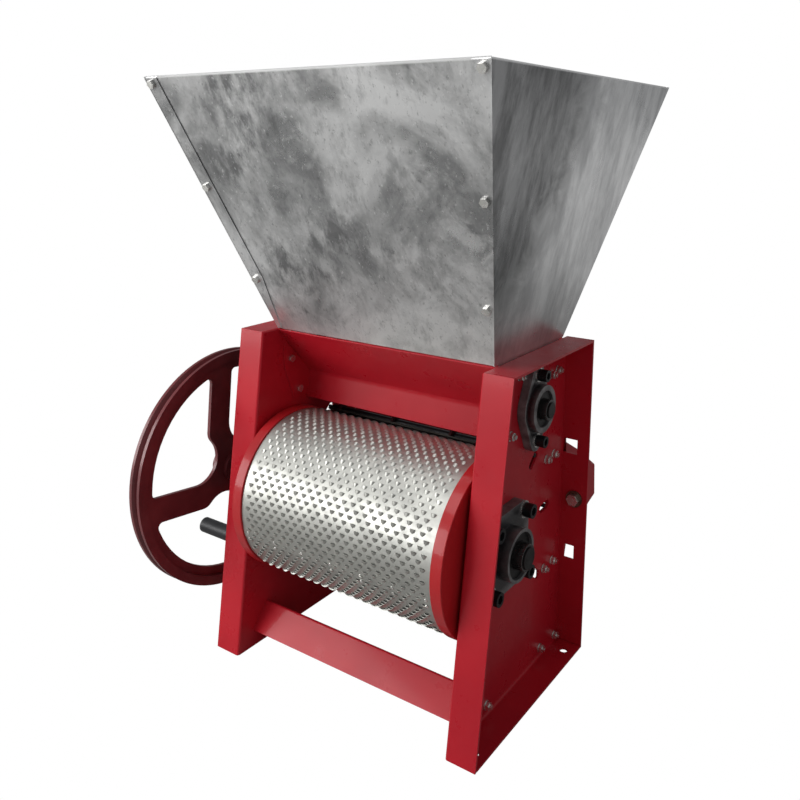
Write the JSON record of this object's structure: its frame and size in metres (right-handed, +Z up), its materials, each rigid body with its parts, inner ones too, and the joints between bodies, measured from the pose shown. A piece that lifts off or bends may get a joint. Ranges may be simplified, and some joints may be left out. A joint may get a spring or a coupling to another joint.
{
  "type": "coffee pulper",
  "caption": "Hand-cranked coffee pulper: punched drum between flanged red side plates, feed roller, breast and rear hood, spoked flywheel with grip, sheet hopper on top",
  "frame": {"origin": "on the floor, at the centre of the four floor bolt holes", "axes": "+X points to the right side with the bare bearing ends, -X to the flywheel side, -Y to the open front with the drum, +Z up"},
  "size_m": [0.641, 0.5217, 0.7971],
  "materials": {
    "red_paint": "gloss",
    "disc_paint": "satin",
    "wheel_paint": "satin",
    "galvanised_sheet": "satin",
    "drum_steel": "satin",
    "zinc": "satin",
    "bare_steel": "satin",
    "black_iron": "satin",
    "black_steel": "satin",
    "belt_rubber": "matte",
    "grip_plastic": "matte"
  },
  "bodies": {
    "frame": {"side_plate_right": "red_paint", "side_plate_left": "red_paint", "throat_front_panel": "red_paint", "throat_rear_panel": "red_paint", "front_lower_rail": "red_paint", "rear_lower_rail": "red_paint", "rear_hood": "red_paint", "adjuster_bar": "red_paint", "adjuster_locknuts": "zinc", "frame_bolts": "zinc", "frame_nuts": "zinc", "frame_washers": "zinc", "hood_bolts": "zinc", "hood_nuts": "zinc", "hood_washers": "zinc", "hopper_front": "galvanised_sheet", "hopper_rear": "galvanised_sheet", "hopper_side_right": "galvanised_sheet", "hopper_side_left": "galvanised_sheet", "hopper_bolts": "zinc", "hopper_nuts": "zinc", "drum_bearing_housing_right": "black_iron", "drum_bearing_housing_left": "black_iron", "drum_bearing_outer_rings": "black_steel", "drum_bearing_screws": "black_steel", "drum_bearing_nuts": "black_steel", "drum_bearing_washers": "zinc", "feed_bearing_housing_right": "black_iron", "feed_bearing_housing_left": "black_iron", "feed_bearing_outer_rings": "black_steel", "feed_bearing_screws": "black_steel", "feed_bearing_nuts": "black_steel", "feed_bearing_washers": "zinc", "drive_belt": "belt_rubber"},
    "drum": {"drum_skin": "drum_steel", "drum_disc_right": "disc_paint", "drum_disc_left": "disc_paint", "drum_seam_rivets": "zinc", "drum_shaft": "bare_steel", "drum_bearing_inner_rings": "black_steel", "drum_pulley": "black_iron", "flywheel": "wheel_paint", "flywheel_key": "bare_steel", "flywheel_set_screw": "black_steel", "crank_pin": "bare_steel", "crank_pin_nut": "zinc"},
    "feed": {"feed_shaft": "bare_steel", "feed_roller": "wheel_paint", "feed_pulley": "black_iron", "feed_bearing_inner_rings": "black_steel"},
    "grip": {"crank_grip": "grip_plastic", "grip_cap": "grip_plastic"},
    "breast": {"breast_plate": "red_paint", "breast_ribs": "red_paint", "breast_rods": "black_steel", "breast_bars": "bare_steel"},
    "screw_right": {"adjuster_screw_right": "zinc", "adjuster_clip_right": "bare_steel"},
    "screw_left": {"adjuster_screw_left": "zinc", "adjuster_clip_left": "bare_steel"}
  },
  "joints": [
    {"name": "drum_spin", "type": "hinge", "parent": "frame", "child": "drum", "pos_m": [0, -0.0395, 0.224], "axis": [1, 0, 0], "continuous": true},
    {"name": "feed_spin", "type": "hinge", "parent": "frame", "child": "feed", "pos_m": [0, 0.0355, 0.389], "axis": [1, 0, 0], "continuous": true},
    {"name": "grip_spin", "type": "hinge", "parent": "drum", "child": "grip", "pos_m": [-0.35, -0.01218, 0.08343], "axis": [1, 0, 0], "continuous": true},
    {"name": "breast_slide", "type": "slide", "parent": "frame", "child": "breast", "axis": [0, 1, 0], "range_m": [-0.002, 0.002]},
    {"name": "screw_right_turn", "type": "hinge", "parent": "breast", "child": "screw_right", "pos_m": [0.15, 0.12, 0.23099], "axis": [0, 1, 0], "range_deg": [-490, 490]},
    {"name": "screw_left_turn", "type": "hinge", "parent": "breast", "child": "screw_left", "pos_m": [-0.15, 0.12, 0.23099], "axis": [0, 1, 0], "range_deg": [-490, 490]}
  ],
  "couplings": [
    {"joint": "feed_spin", "follows": "drum_spin", "ratio": 1.2857},
    {"joint": "screw_right_turn", "follows": "breast_slide", "rad_per_m": 4188.8},
    {"joint": "screw_left_turn", "follows": "breast_slide", "rad_per_m": 4188.8}
  ]
}
